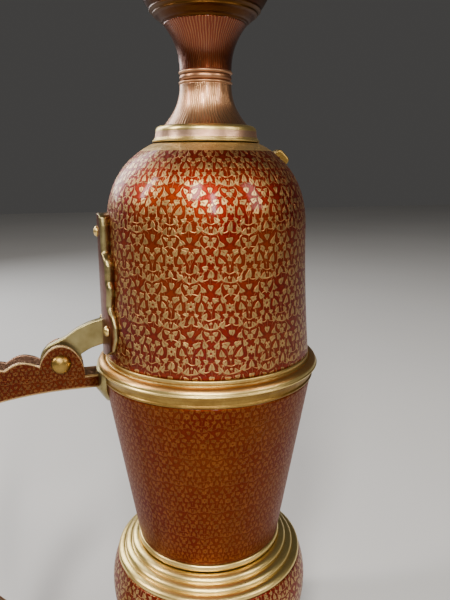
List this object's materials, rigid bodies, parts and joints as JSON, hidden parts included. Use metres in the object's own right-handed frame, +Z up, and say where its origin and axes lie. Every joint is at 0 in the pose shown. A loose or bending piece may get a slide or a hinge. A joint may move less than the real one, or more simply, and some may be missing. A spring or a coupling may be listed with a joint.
{
  "type": "hinged-hood ewer",
  "caption": "Tall engraved brass ewer with a tapered cup over a round bulb, a channel handle, and a domed hood with a slim flared neck that tips back on a pin.",
  "frame": {"origin": "centre of the foot's flat underside", "axes": "+Z up along the turned axis, -X towards the handle and the hinge"},
  "size_m": [0.1706, 0.0976, 0.3264],
  "materials": {
    "red_lacquer": "engraved brass under translucent red lacquer, polished",
    "turned_brass": "turned brass, aged, satin to polished",
    "cast_brass": "pale cast brass, filed, satin",
    "copper_tone": "copper-toned brass, polished",
    "dark_brass": "tarnished brass, unpolished"
  },
  "bodies": {
    "jug": {"base_plate": "dark_brass", "bulb_floor": "dark_brass", "bulb_lower": "red_lacquer", "bulb_upper": "red_lacquer", "cup_band": "turned_brass", "cup_shell": "red_lacquer", "foot_ring": "turned_brass", "handle_cheek_far": "red_lacquer", "handle_cheek_near": "red_lacquer", "handle_sole": "cast_brass", "hinge_pin": "cast_brass", "lower_handle_plate": "cast_brass", "lower_plate_rivet_bottom": "turned_brass", "lower_plate_rivet_top": "turned_brass", "pin_rove": "cast_brass", "rim_flange": "copper_tone", "seat_band": "turned_brass", "spacer_washer_far": "turned_brass", "spacer_washer_near": "turned_brass", "step_collar": "turned_brass", "upper_handle_plate": "cast_brass", "waist_bead": "turned_brass"},
    "hood": {"hood_ring": "turned_brass", "hood_sleeve": "dark_brass", "hood_shell": "red_lacquer", "shoulder_collar": "turned_brass", "neck_lower": "red_lacquer", "neck_bead": "turned_brass", "neck_upper": "red_lacquer", "mouth_cup": "dark_brass", "mouth_lip": "turned_brass", "hood_plate": "cast_brass", "hinge_web": "cast_brass", "lift_lug": "cast_brass", "hood_rivet_top": "turned_brass", "hood_rivet_near": "turned_brass", "hood_rivet_far": "turned_brass"}
  },
  "joints": [
    {"name": "hood_hinge", "type": "hinge", "parent": "jug", "child": "hood", "pos_m": [-0.0636, 0, 0.16985], "axis": [0, -1, 0], "range_deg": [0, 100]}
  ]
}
